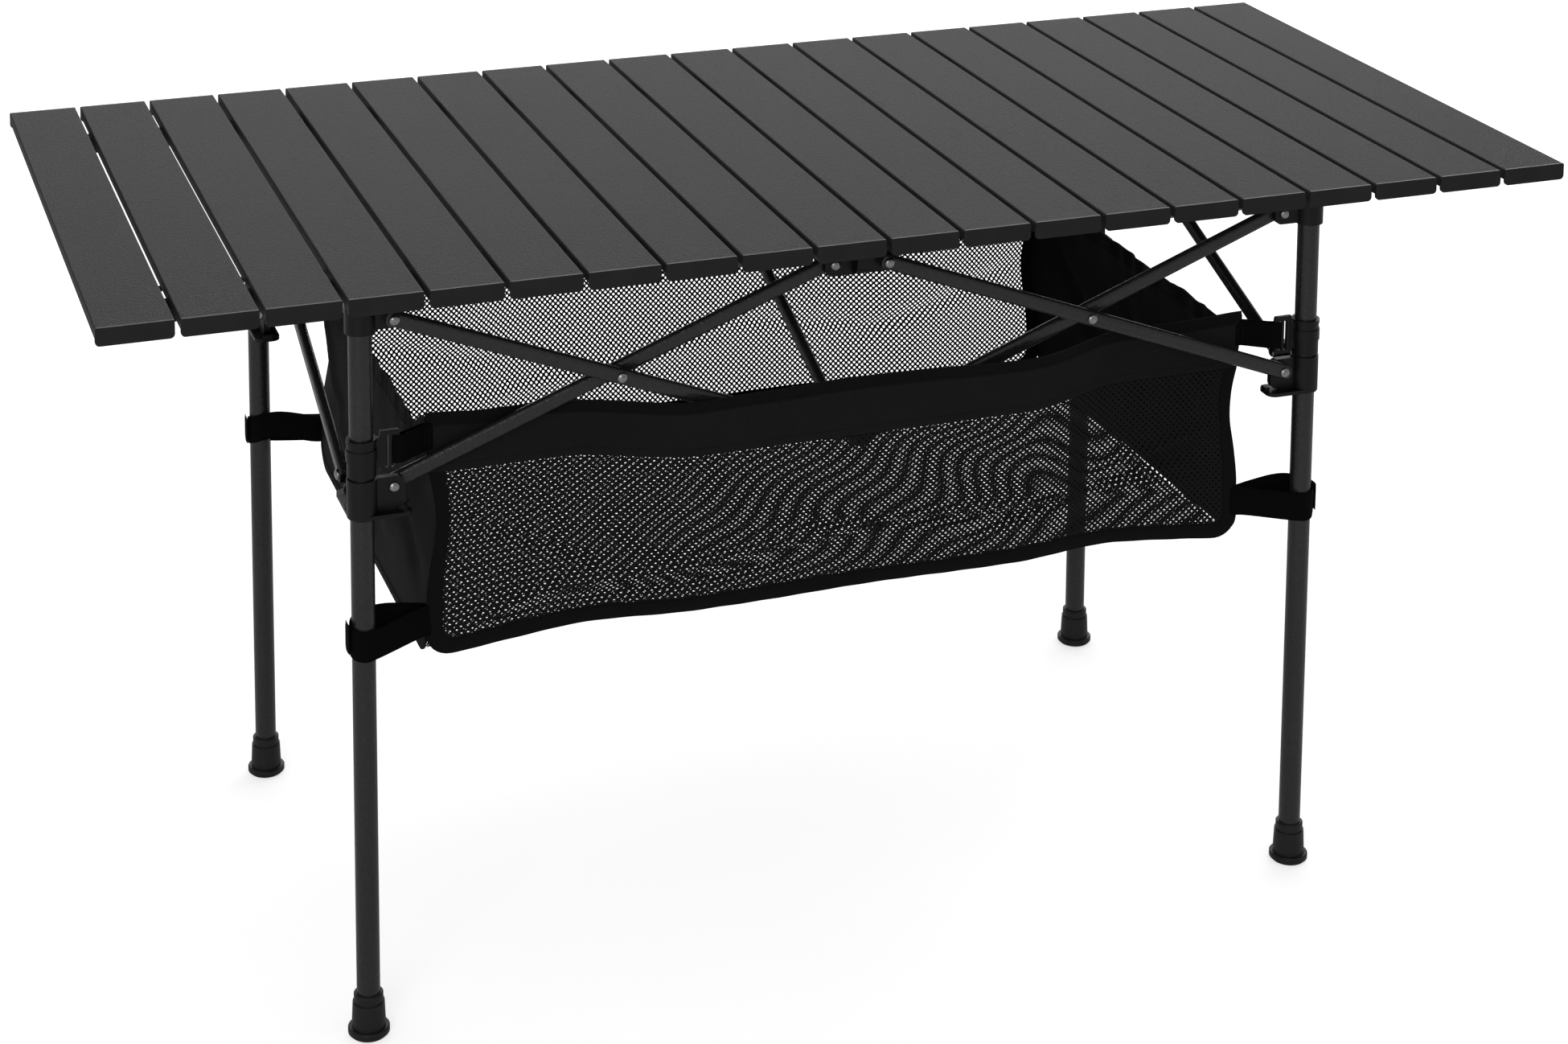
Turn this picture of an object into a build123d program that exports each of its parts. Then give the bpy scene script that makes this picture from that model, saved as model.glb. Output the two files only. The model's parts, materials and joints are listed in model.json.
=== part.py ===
from build123d import *
import math
import os

# Camp kitchen table: a roll-up slatted top on two rails, on a folding accordion frame
# of four legs and seven crossed bar pairs, with a mesh storage basket hung inside it.
# Millimetres. +Z is up, +X runs along the length, -Y is the front.
# The origin is on the floor, under the middle of the table top.

# ---- driving dimensions: table top ----
SLAT_COUNT = 20
SLAT_PITCH = 60.0
SLAT_GAP = 4.0
TOP_DEPTH = 541.0
TOP_HEIGHT = 608.0
SLAT_THICKNESS = 9.0
SLAT_WALL = 1.3
SLAT_EDGE_RADIUS = 1.2
SLAT_RIBS = 2
CAP_LENGTH = 2.0
CAP_HEIGHT = 13.5
CAP_CORNER_RADIUS = 3.5
CAP_TONGUE = (14.0, 12.0, 5.8)
CAP_TONGUE_OVERLAP = 1.0
CORD_DEPTH = 6.0
CORD_RADIUS = 1.4
CORD_STUB = 3.4
BUSHING_RADIUS = 3.0
BUSHING_LENGTH = 2.4
CORD_ROWS = (-190.0, 190.0)
RAIL_WIDTH = 20.0
RAIL_WALL = 1.2
RAIL_END_INSET = 12.0

# ---- driving dimensions: frame ----
LEG_X = 397.0
LEG_Y = 209.5
TUBE_RADIUS = 9.0
TUBE_WALL = 1.2
TUBE_FLOOR_GAP = 4.0
TOP_PIN_Z = 570.0
SLIDER_PIN_Z = 437.0
LEG_EAR_X = 24.0
CENTRE_EAR_X = 21.0
CELL = LEG_X - LEG_EAR_X - CENTRE_EAR_X
EAR_Y = LEG_Y - CELL / 2
BAR_HEIGHT = 12.5
BAR_THICKNESS = 8.0
BAR_WALL = 1.2
BAR_END_SLACK = 0.25
BAR_PLANE = 7.0

# ---- driving dimensions: moulded hubs ----
EAR_THICKNESS = 5.6
EAR_RADIUS = 8.5
EAR_CORNER = 6.0
EAR_STEP = 1.0
SLEEVE_RADIUS = 11.5
SLEEVE_CHAMFER = 0.8
SLEEVE_ROUND = 2.0
HUB_BELOW_PIN = 10.0
HUB_ABOVE_PIN = 17.0
ROOF_SETBACK = 2.0
ROOF_CORNER = 5.0
SLIDER_BELOW_PIN = 21.5
SLIDER_ABOVE_PIN = 9.5
SLIDER_EAR_BELOW_PIN = 16.5
TRAY_REACH = 13.0
TRAY_WIDTH = 22.0
TRAY_THICKNESS = 3.0
TRAY_CORNER = 7.0
TRAY_LIFT = 1.0
LIP_WIDTH = 8.0
LIP_HEIGHT = 6.0
FLARE_DEPTH = 2.0
FLARE_WIDTH = 1.5
CENTRE_BLOCK = 26.0
CENTRE_BLOCK_ROUND = 14.5
CENTRE_BLOCK_DROP = 14.0

# ---- driving dimensions: rivets, feet, clips ----
RIVET_RADIUS = 2.0
RIVET_HEAD_RADIUS = 4.0
RIVET_HEAD_HEIGHT = 1.8
RIVET_PLAY = 0.06
SPACER_RADIUS = 5.5
FOOT_HEIGHT = 34.0
FOOT_FLANGE_RADIUS = 16.0
FOOT_FLANGE_BEVEL = 2.0
FOOT_FLANGE_HEIGHT = 6.5
FOOT_STEP_RADIUS = 13.0
FOOT_STEP_HEIGHT = 10.0
FOOT_COLLAR_RADIUS = 11.3
FOOT_COLLAR_HEIGHT = 7.5
FOOT_FLOOR = 3.5
CLIP_BOTTOM = 448.5
CLIP_HEIGHT = 29.0
CLIP_RADIUS = 11.0
CLIP_BAND = (12.0, 21.0, 0.8)
CLIP_RIM = (3.0, 0.5)
CLIP_FRAME = (14.0, 29.0)
CLIP_FRAME_DEPTH = 3.0
CLIP_FRAME_LOW = 1.0
CLIP_FRAME_RISE = 4.0
CLIP_FRAME_CORNER = 2.0
CLIP_ARM = (5.0, 28.0, 4.0)
CLIP_SLOT_INSET = 5.2
CLIP_SLOT_WIDTH = 2.5
CLIP_SLOT_LOW = 4.0
STRAP_THICKNESS = 1.4

# ---- driving dimensions: basket ----
BASKET_X = 345.0
BASKET_Y = 195.0
BASKET_BOW = 34.0
BOW_START = 238.0
BOW_FULL = 150.0
BASKET_BOTTOM = 288.0
BASKET_TOP = 484.0
BASKET_SIDE_TOP = 466.0
BASKET_CORNER_WIDTH = 25.0
BASKET_SKIN = 3.0
UPPER_STRAP_Z = (454.9, 477.1)
LOWER_STRAP_Z = (310.0, 336.0)
STRAP_END_RADIUS = 1.6

# ---- fits ----
SLIDE_FIT = 0.08
FIXED_FIT = 0.04
REST_GAP = 0.1
THROUGH = 1.0

# ---- worked out from the above ----
SLAT_WIDTH = SLAT_PITCH - SLAT_GAP
BAR_SPAN = math.hypot(CELL, TOP_PIN_Z - SLIDER_PIN_Z)
BAR_DROP = math.degrees(math.atan2(TOP_PIN_Z - SLIDER_PIN_Z, CELL))
HUB_TOP = TOP_PIN_Z + HUB_ABOVE_PIN
RAIL_HEIGHT = TOP_HEIGHT - SLAT_THICKNESS - HUB_TOP - 2 * REST_GAP
MID_PIN_Z = (TOP_PIN_Z + SLIDER_PIN_Z) / 2
CORNERS = {(-1, -1): "front_left", (1, -1): "front_right", (-1, 1): "back_left", (1, 1): "back_right"}

os.makedirs("parts", exist_ok=True)


def write(name, solids):
    """Writes one node: one solid, or a group of separate solids."""
    solids = solids if isinstance(solids, list) else [solids]
    export_step(Compound(children=solids) if len(solids) > 1 else solids[0], f"parts/{name}.step")


def block(x0, x1, y0, y1, z0, z1):
    """A box between two corners."""
    return Pos((x0 + x1) / 2, (y0 + y1) / 2, (z0 + z1) / 2) * Box(x1 - x0, y1 - y0, z1 - z0)


def upright(radius, z0, z1, x=0.0, y=0.0):
    """A vertical round bar."""
    return Pos(x, y, (z0 + z1) / 2) * Cylinder(radius, z1 - z0)


def pin_along_y(radius, x, z, y0, y1):
    """A round bar along Y."""
    return Pos(x, (y0 + y1) / 2, z) * (Rot(90, 0, 0) * Cylinder(radius, y1 - y0))


def pin_along_x(radius, y, z, x0, x1):
    """A round bar along X."""
    return Pos((x0 + x1) / 2, y, z) * (Rot(0, 90, 0) * Cylinder(radius, x1 - x0))


def solid(shape):
    """The single solid of a finished shape."""
    return shape.solids()[0]


# ---- table top ----
def slat(number):
    """One slat: a hollow extrusion, two end caps, and the cord bushings on its right edge."""
    x = (number - (SLAT_COUNT + 1) / 2) * SLAT_PITCH
    z = TOP_HEIGHT - SLAT_THICKNESS / 2
    half_length = TOP_DEPTH / 2 - CAP_LENGTH
    outline = RectangleRounded(SLAT_WIDTH, SLAT_THICKNESS, SLAT_EDGE_RADIUS)
    room = SLAT_WIDTH - 2 * SLAT_WALL
    cavity = (room - SLAT_RIBS * SLAT_WALL) / (SLAT_RIBS + 1)
    for k in range(SLAT_RIBS + 1):
        middle = (k - SLAT_RIBS / 2) * (cavity + SLAT_WALL)
        outline -= Pos(middle, 0) * Rectangle(cavity, SLAT_THICKNESS - 2 * SLAT_WALL)
    extrusion = Pos(x, 0, z) * extrude(Plane.XZ * outline, half_length, both=True)
    pieces = [solid(extrusion)]
    for side in (-1, 1):
        face = Rectangle(SLAT_WIDTH, CAP_HEIGHT)
        face = fillet(face.vertices().group_by(Axis.Y)[0], CAP_CORNER_RADIUS)
        face = fillet(face.vertices().group_by(Axis.Y)[-1], SLAT_EDGE_RADIUS)
        middle_y = side * (half_length + CAP_LENGTH / 2)
        plate = extrude(Plane.XZ * face, CAP_LENGTH / 2, both=True)
        cap = Pos(x, middle_y, TOP_HEIGHT - CAP_HEIGHT / 2) * plate
        tongue_y = side * (half_length - CAP_TONGUE[1] / 2 + CAP_TONGUE_OVERLAP)
        tongue = Pos(x, tongue_y, z) * Box(*CAP_TONGUE)
        pieces.append(solid(cap + tongue))
    if number < SLAT_COUNT:
        edge = x + SLAT_WIDTH / 2
        cord_z = TOP_HEIGHT - CORD_DEPTH
        for y in CORD_ROWS:
            bushing = pin_along_x(BUSHING_RADIUS, y, cord_z, edge, edge + BUSHING_LENGTH)
            cord = pin_along_x(CORD_RADIUS, y, cord_z, edge, edge + CORD_STUB)
            pieces.append(solid(bushing + cord))
    return pieces


def support_rails():
    """Two hollow rails along the length, lying on the hubs."""
    reach = SLAT_COUNT * SLAT_PITCH / 2 - RAIL_END_INSET
    top = HUB_TOP + REST_GAP + RAIL_HEIGHT
    rails = []
    for y in (-LEG_Y, LEG_Y):
        outer = block(-reach, reach, y - RAIL_WIDTH / 2, y + RAIL_WIDTH / 2, top - RAIL_HEIGHT, top)
        outer = fillet(outer.edges().filter_by(Axis.X), SLAT_EDGE_RADIUS)
        half = RAIL_WIDTH / 2 - RAIL_WALL
        bore = block(-reach, reach, y - half, y + half, top - RAIL_HEIGHT + RAIL_WALL, top - RAIL_WALL)
        rails.append(solid(outer - bore))
    return rails


# ---- legs and feet ----
def leg(x, y):
    """A leg tube, from inside its foot to inside its top hub."""
    top = HUB_TOP - TRAY_THICKNESS - FIXED_FIT
    bore = upright(TUBE_RADIUS - TUBE_WALL, 0, top + THROUGH, x, y)
    return solid(upright(TUBE_RADIUS, TUBE_FLOOR_GAP, top, x, y) - bore)


def foot(x, y):
    """A pushed-on foot: a wide rounded flange, a step ring and a tapered collar."""
    flange, bevel = FOOT_FLANGE_RADIUS, FOOT_FLANGE_BEVEL
    step, collar = FOOT_STEP_RADIUS, FOOT_COLLAR_RADIUS
    collar_low = FOOT_HEIGHT - FOOT_COLLAR_HEIGHT
    outline = Polyline(
        (0, 0), (flange - bevel, 0), (flange, bevel), (flange, FOOT_FLANGE_HEIGHT - bevel / 2),
        (flange - bevel / 2, FOOT_FLANGE_HEIGHT), (step, FOOT_FLANGE_HEIGHT), (step, FOOT_STEP_HEIGHT),
        (collar + bevel / 2, collar_low), (collar, collar_low), (collar, FOOT_HEIGHT - bevel / 2),
        (collar - bevel / 2, FOOT_HEIGHT), (0, FOOT_HEIGHT), close=True,
    )
    body = revolve(Plane.XZ * make_face(outline), Axis.Z)
    return solid(Pos(x, y, 0) * (body - upright(TUBE_RADIUS + FIXED_FIT, FOOT_FLOOR, FOOT_HEIGHT + THROUGH)))


# ---- moulded hubs ----
def ear(reach, pin_z, below, above):
    """A plate along +X from the hub's axis past its pin, with a rounded outer end."""
    end, half = reach + EAR_RADIUS, EAR_THICKNESS / 2
    plate = block(0, end, -half, half, pin_z - below, pin_z + above)
    corners = plate.edges().filter_by(Axis.Y).group_by(Axis.X)[-1]
    return fillet(corners, EAR_CORNER)


def rivet(reach, pin_z, side):
    """A rivet along Y through an ear and the one bar beside it, with a domed head each end."""
    near = -side * (EAR_THICKNESS / 2 + RIVET_PLAY)
    far = side * (BAR_PLANE + BAR_THICKNESS / 2 + RIVET_PLAY)
    return domed_pin(reach, pin_z, min(near, far), max(near, far))


def domed_pin(x, z, y0, y1):
    """A rivet along Y whose shank runs from y0 to y1, with a domed head outside each end."""
    ball = (RIVET_HEAD_RADIUS ** 2 + RIVET_HEAD_HEIGHT ** 2) / (2 * RIVET_HEAD_HEIGHT)
    shape = pin_along_y(RIVET_RADIUS, x, z, y0, y1)
    for y, out in ((y0, -1), (y1, 1)):
        dome = Pos(x, y + out * (RIVET_HEAD_HEIGHT - ball), z) * Sphere(ball)
        low, high = sorted((y, y + out * (RIVET_HEAD_HEIGHT + THROUGH)))
        shape += dome & block(x - ball, x + ball, low, high, z - ball, z + ball)
    return solid(shape)


def pierced(shape, reach, pin_z):
    """The hub with a rivet hole through its ear."""
    half = EAR_THICKNESS
    return shape - pin_along_y(RIVET_RADIUS + RIVET_PLAY, reach, pin_z, -half, half)


def ear_directions(x_side, y_side, both_ways):
    """The directions of a hub's ears as quarter turns, its ears' reach and its bars' side."""
    along = [(0, CENTRE_EAR_X), (2, CENTRE_EAR_X)] if both_ways else [(0 if x_side < 0 else 2, LEG_EAR_X)]
    across = (1 if y_side < 0 else 3, EAR_Y)
    return along + [across]


def bar_side(kind, quarter, y_side):
    """Which side of an ear its bar lies on, seen along the ear: +1 is to the left of its direction."""
    is_top = kind == "top"
    if quarter in (0, 2):
        # bars that fall towards +X are on the outside of the table, the others on the inside
        outside = is_top == (quarter == 0)
        world_y = y_side if outside else -y_side
        return world_y if quarter == 0 else -world_y
    # bars that fall towards the back are on the +X side of the ears, the others on the -X side
    world_x = 1 if is_top == (quarter == 1) else -1
    return -world_x if quarter == 1 else world_x


def hub_rivets(kind, ears, pin_z, x, y):
    """The rivets of one hub, one through each ear."""
    rivets = []
    for quarter, reach in ears:
        side = bar_side(kind, quarter, math.copysign(1, y))
        rivets.append(Pos(x, y, 0) * (Rot(0, 0, 90 * quarter) * rivet(reach, pin_z, side)))
    return [solid(r) for r in rivets]


def roof(reach, high):
    """The plate over an ear, which the rail or a slat rests on."""
    end, half = reach + EAR_RADIUS - ROOF_SETBACK, TRAY_WIDTH / 2
    plate = block(0, end, -half, half, high - TRAY_THICKNESS, high)
    return fillet(plate.edges().filter_by(Axis.Z).group_by(Axis.X)[-1], ROOF_CORNER)


def top_hub(x_side, y_side):
    """The fixed hub on top of a leg: a closed sleeve with two ears under a roof."""
    x, y = x_side * LEG_X, y_side * LEG_Y
    low, high = TOP_PIN_Z - HUB_BELOW_PIN, HUB_TOP
    body = upright(SLEEVE_RADIUS, low, high)
    body = chamfer(body.edges().group_by(Axis.Z)[-1], SLEEVE_CHAMFER)
    ears = ear_directions(x_side, y_side, False)
    for quarter, reach in ears:
        arm = ear(reach, TOP_PIN_Z, HUB_BELOW_PIN - EAR_STEP, HUB_ABOVE_PIN - EAR_STEP)
        body += Rot(0, 0, 90 * quarter) * (pierced(arm, reach, TOP_PIN_Z) + roof(reach, high))
    body -= upright(TUBE_RADIUS + FIXED_FIT, low - THROUGH, high - TRAY_THICKNESS)
    return [solid(Pos(x, y, 0) * body)] + hub_rivets("top", ears, TOP_PIN_Z, x, y)


def slider(x_side, y_side):
    """The sliding hub on a leg: a flared sleeve with two ears over curved trays."""
    x, y = x_side * LEG_X, y_side * LEG_Y
    low, high = SLIDER_PIN_Z - SLIDER_BELOW_PIN, SLIDER_PIN_Z + SLIDER_ABOVE_PIN
    body = upright(SLEEVE_RADIUS, low, high)
    body = fillet(body.edges().group_by(Axis.Z)[0], SLEEVE_ROUND)
    floor = low + TRAY_LIFT
    ears = ear_directions(x_side, y_side, False)
    for quarter, reach in ears:
        arm = ear(reach, SLIDER_PIN_Z, SLIDER_EAR_BELOW_PIN, EAR_RADIUS)
        end = reach + TRAY_REACH
        tray = block(0, end, -TRAY_WIDTH / 2, TRAY_WIDTH / 2, floor, floor + TRAY_THICKNESS)
        tray = fillet(tray.edges().filter_by(Axis.Z).group_by(Axis.X)[-1], TRAY_CORNER)
        lip = block(end - TRAY_THICKNESS, end, -LIP_WIDTH / 2, LIP_WIDTH / 2, floor, floor + LIP_HEIGHT)
        web = block(0, reach, -EAR_THICKNESS / 2, EAR_THICKNESS / 2, floor, SLIDER_PIN_Z)
        body += Rot(0, 0, 90 * quarter) * (pierced(arm + web, reach, SLIDER_PIN_Z) + tray + lip)
    bore = TUBE_RADIUS + SLIDE_FIT
    body -= upright(bore, low - THROUGH, high + THROUGH)
    flare = Pos(0, 0, high - FLARE_DEPTH / 2) * Cone(bore, bore + FLARE_WIDTH, FLARE_DEPTH)
    return [solid(Pos(x, y, 0) * (body - flare))] + hub_rivets("low", ears, SLIDER_PIN_Z, x, y)


def centre_hub(kind, y_side):
    """A hub between the two cells of one long side: a block with a rounded bottom and three ears."""
    pin_z = TOP_PIN_Z if kind == "top" else SLIDER_PIN_Z
    y = y_side * LEG_Y
    low, high = pin_z - CENTRE_BLOCK_DROP, pin_z + (HUB_ABOVE_PIN if kind == "top" else EAR_RADIUS)
    half = CENTRE_BLOCK / 2
    body = block(-half / 2, half / 2, -half, half, low, high)
    rounding = pin_along_x(CENTRE_BLOCK_ROUND, 0, high - half + ROOF_SETBACK, -half, half)
    body &= rounding + block(-half, half, -half, half, pin_z, high)
    ears = ear_directions(0, y_side, True)
    for quarter, reach in ears:
        arm = ear(reach, pin_z, HUB_BELOW_PIN - EAR_STEP, high - pin_z - EAR_STEP)
        shape = pierced(arm, reach, pin_z)
        if kind == "top":
            shape += roof(reach, high)
        body += Rot(0, 0, 90 * quarter) * shape
    return [solid(Pos(0, y, 0) * body)] + hub_rivets(kind, ears, pin_z, 0, y)


# ---- crossed bars ----
def bar(rivet_side):
    """A flat oval tube on the X axis from pin to pin, drilled for three rivets. It may carry the middle one,
    whose crossing lies towards -Y for rivet_side +1, towards +Y for -1, and is another bar's for 0."""
    half = BAR_SPAN / 2
    outline = SlotCenterToCenter(BAR_SPAN, BAR_HEIGHT + 2 * BAR_END_SLACK)
    side_view = extrude(Plane.XZ * outline, BAR_THICKNESS, both=True)
    section = SlotOverall(BAR_HEIGHT, BAR_THICKNESS, rotation=90)
    section -= SlotOverall(BAR_HEIGHT - 2 * BAR_WALL, BAR_THICKNESS - 2 * BAR_WALL, rotation=90)
    tube = side_view & extrude(Plane.YZ * section, BAR_SPAN, both=True)
    for x in (-half, 0, half):
        tube -= pin_along_y(RIVET_RADIUS + RIVET_PLAY, x, 0, -BAR_THICKNESS, BAR_THICKNESS)
    pieces = [solid(tube)]
    if rivet_side:
        crossing = Pos(0, -BAR_PLANE * rivet_side, 0)
        reach = BAR_PLANE + BAR_THICKNESS / 2 + RIVET_PLAY
        pieces.append(crossing * domed_pin(0, 0, -reach, reach))
        washer = BAR_PLANE - BAR_THICKNESS / 2 - RIVET_PLAY
        spacer = pin_along_y(SPACER_RADIUS, 0, 0, -washer, washer)
        spacer -= pin_along_y(RIVET_RADIUS + RIVET_PLAY, 0, 0, -washer, washer)
        pieces.append(solid(crossing * spacer))
    return pieces


def place_bar(middle_x, middle_y, along_y, falls, offset, has_rivet):
    """One bar of a pair. falls is +1 when it falls towards +X (or +Y), offset is its side's shift."""
    tilt = Rot(0, falls * BAR_DROP, 0)
    rivet_side = (1 if offset > 0 else -1) if has_rivet else 0
    turn = Rot(0, 0, 90 if along_y else 0)
    if along_y:
        rivet_side = -rivet_side
        place = Pos(middle_x + offset, middle_y, MID_PIN_Z)
    else:
        place = Pos(middle_x, middle_y + offset, MID_PIN_Z)
    return [solid(place * (turn * (tilt * piece))) for piece in bar(rivet_side)]


# ---- basket ----
def basket_outline(shrink):
    """The basket's plan: a rectangle whose long sides bow out around the centre hubs."""
    x, y = BASKET_X - shrink, BASKET_Y - shrink
    start, full, level = (-BOW_START, -y), (-BOW_FULL, -y - BASKET_BOW), ((1, 0), (1, 0))
    half = [Line((-x, 0), (-x, -y)), Line((-x, -y), start), Spline(start, full, tangents=level)]
    half.append(Line(full, (0, -y - BASKET_BOW)))
    front = half + [mirror(edge, Plane.YZ) for edge in half]
    return make_face(front + [mirror(edge, Plane.XZ) for edge in front])


def storage_basket():
    """The basket as a thin closed skin, open at the top, with lower side panels."""
    height = BASKET_TOP - BASKET_BOTTOM
    shell = Pos(0, 0, BASKET_BOTTOM) * extrude(basket_outline(0), height)
    shell -= Pos(0, 0, BASKET_BOTTOM + BASKET_SKIN) * extrude(basket_outline(BASKET_SKIN), height)
    dip = BASKET_Y - BASKET_CORNER_WIDTH
    wall = BASKET_SKIN + THROUGH
    for x in (-BASKET_X, BASKET_X):
        shell -= block(x - wall, x + wall, -dip, dip, BASKET_SIDE_TOP, BASKET_TOP + THROUGH)
    return solid(shell)


def basket_clip(x_side, y_side):
    """A moulded clip on a leg: a banded ring, an arm, and a slotted frame for the strap."""
    low, high = CLIP_BOTTOM, CLIP_BOTTOM + CLIP_HEIGHT
    ring = upright(CLIP_RADIUS, low, high)
    band_low, band_high, band_swell = CLIP_BAND
    ring += upright(CLIP_RADIUS + band_swell, low + band_low, low + band_high)
    rim_height, rim_swell = CLIP_RIM
    ring += upright(CLIP_RADIUS + rim_swell, high - rim_height, high)
    x0, x1 = CLIP_FRAME
    half = CLIP_FRAME_DEPTH / 2
    arm_low, arm_high, arm_depth = CLIP_ARM
    ring += block(0, x0 + THROUGH, -arm_depth / 2, arm_depth / 2, low + arm_low, low + arm_high)
    frame = block(x0, x1, -half, half, low + CLIP_FRAME_LOW, high + CLIP_FRAME_RISE)
    frame = fillet(frame.edges().filter_by(Axis.Y).group_by(Axis.X)[-1], CLIP_FRAME_CORNER)
    slot = block(-CLIP_SLOT_WIDTH / 2, CLIP_SLOT_WIDTH / 2, -half, half, low + CLIP_SLOT_LOW, high)
    for slot_x in (x0 + CLIP_SLOT_INSET, x1 - CLIP_SLOT_INSET):
        frame -= Pos(slot_x, 0, 0) * slot
    body = ring + frame - upright(TUBE_RADIUS + REST_GAP, low - THROUGH, high + THROUGH)
    if x_side > 0:
        body = mirror(body, Plane.YZ)
    return solid(Pos(x_side * LEG_X, y_side * LEG_Y, 0) * body)


def at_leg(strap, x_side, y_side):
    """Moves a strap made for the front left corner to its own leg."""
    if y_side > 0:
        strap = mirror(strap, Plane.XZ)
    if x_side > 0:
        strap = mirror(strap, Plane.YZ)
    return solid(Pos(x_side * LEG_X, y_side * LEG_Y, 0) * strap)


def upper_strap(x_side, y_side):
    """The webbing from a clip's frame to the basket's upper corner."""
    low, high = UPPER_STRAP_Z
    frame_end = CLIP_FRAME[1]
    bend_x = frame_end + CLIP_FRAME_DEPTH
    beside_frame = CLIP_FRAME_DEPTH / 2 + REST_GAP + STRAP_THICKNESS / 2
    path = [
        Vector(frame_end - CLIP_SLOT_INSET, beside_frame),
        Vector(bend_x, beside_frame),
        Vector(LEG_X - BASKET_X - REST_GAP, LEG_Y - BASKET_Y),
    ]
    ply = Pos(0, 0, low) * extrude(make_face(offset_path(path, STRAP_THICKNESS)), high - low)
    return at_leg(ply, x_side, y_side)


def offset_path(points, width):
    """A closed outline around an open path, half the width to each side."""
    left, right = [], []
    for k, point in enumerate(points):
        before = points[max(k - 1, 0)]
        after = points[min(k + 1, len(points) - 1)]
        run = (after - before).normalized()
        normal = Vector(-run.Y, run.X) * (width / 2)
        left.append(point + normal)
        right.append(point - normal)
    return Polyline(*left, *reversed(right), close=True)


def lower_strap(x_side, y_side):
    """The hook-and-loop strap around a leg, joined to the basket's lower corner."""
    inner = TUBE_RADIUS + REST_GAP
    low, high = LOWER_STRAP_Z
    reach = LEG_X - BASKET_X - REST_GAP
    turn_in = LEG_Y - BASKET_Y
    tip, tip_room = STRAP_END_RADIUS, STRAP_END_RADIUS - STRAP_THICKNESS
    outer_end = Pos(reach - STRAP_THICKNESS, turn_in) * Circle(tip)
    inner_end = Pos(reach - 2 * STRAP_THICKNESS, turn_in) * Circle(tip_room)
    outer_hull = make_hull([Circle(inner + STRAP_THICKNESS).edge(), outer_end.edge()])
    inner_hull = make_hull([Circle(inner).edge(), inner_end.edge()])
    loop = Pos(0, 0, low) * extrude(outer_hull - inner_hull, high - low)
    loop -= block(reach, reach + TUBE_RADIUS, -inner, 2 * inner, low - THROUGH, high + THROUGH)
    return at_leg(loop, x_side, y_side)


# ---- build every node ----
for number in range(1, SLAT_COUNT + 1):
    write(f"slat_{number:02d}", slat(number))
write("support_rails", support_rails())

for (sx, sy), place in CORNERS.items():
    write(f"leg_{place}", leg(sx * LEG_X, sy * LEG_Y))
    write(f"foot_{place}", foot(sx * LEG_X, sy * LEG_Y))
    write(f"top_hub_{place}", top_hub(sx, sy))
    write(f"slider_{place}", slider(sx, sy))
    write(f"basket_clip_{place}", basket_clip(sx, sy))

for sy, row in ((-1, "front"), (1, "back")):
    write(f"centre_hub_upper_{row}", centre_hub("top", sy))
    write(f"centre_hub_lower_{row}", centre_hub("low", sy))
    for sx, half in ((-1, "left"), (1, "right")):
        cell_x = sx * (CENTRE_EAR_X + CELL / 2)
        write(f"bar_{row}_{half}_outer", place_bar(cell_x, sy * LEG_Y, False, 1, sy * BAR_PLANE, True))
        write(f"bar_{row}_{half}_inner", place_bar(cell_x, sy * LEG_Y, False, -1, -sy * BAR_PLANE, False))

for x, row in ((-LEG_X, "left"), (0, "centre"), (LEG_X, "right")):
    write(f"bar_{row}_end_falling_back", place_bar(x, 0, True, 1, BAR_PLANE, True))
    write(f"bar_{row}_end_falling_front", place_bar(x, 0, True, -1, -BAR_PLANE, False))

straps = [make(sx, sy) for make in (upper_strap, lower_strap) for sx, sy in CORNERS]
write("storage_basket", [storage_basket()] + straps)
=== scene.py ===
import json
import math

import bpy
import numpy as np
from mathutils import Matrix, Vector


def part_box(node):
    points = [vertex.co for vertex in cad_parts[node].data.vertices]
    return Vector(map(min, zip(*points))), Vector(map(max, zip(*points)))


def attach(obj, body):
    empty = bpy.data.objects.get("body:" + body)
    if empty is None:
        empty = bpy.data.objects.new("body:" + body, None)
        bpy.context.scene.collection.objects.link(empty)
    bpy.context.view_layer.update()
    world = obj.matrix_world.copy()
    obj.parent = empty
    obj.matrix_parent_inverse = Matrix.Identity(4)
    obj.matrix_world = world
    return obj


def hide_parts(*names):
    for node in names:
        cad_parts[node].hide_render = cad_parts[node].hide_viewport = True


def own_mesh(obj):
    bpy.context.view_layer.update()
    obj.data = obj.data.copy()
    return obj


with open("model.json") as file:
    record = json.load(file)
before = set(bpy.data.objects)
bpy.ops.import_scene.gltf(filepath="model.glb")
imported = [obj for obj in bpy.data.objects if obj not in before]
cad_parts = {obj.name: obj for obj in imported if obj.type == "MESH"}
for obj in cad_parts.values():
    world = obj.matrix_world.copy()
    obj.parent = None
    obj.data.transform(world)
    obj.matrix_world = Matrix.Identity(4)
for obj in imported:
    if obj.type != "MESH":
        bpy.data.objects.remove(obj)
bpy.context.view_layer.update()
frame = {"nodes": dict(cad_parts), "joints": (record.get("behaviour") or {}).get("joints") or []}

# Camp kitchen table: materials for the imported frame, bright rivet heads, and the storage basket in cloth.
# Metres, +Z up, the front at -Y, as in the frame.
MM = 0.001

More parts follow.
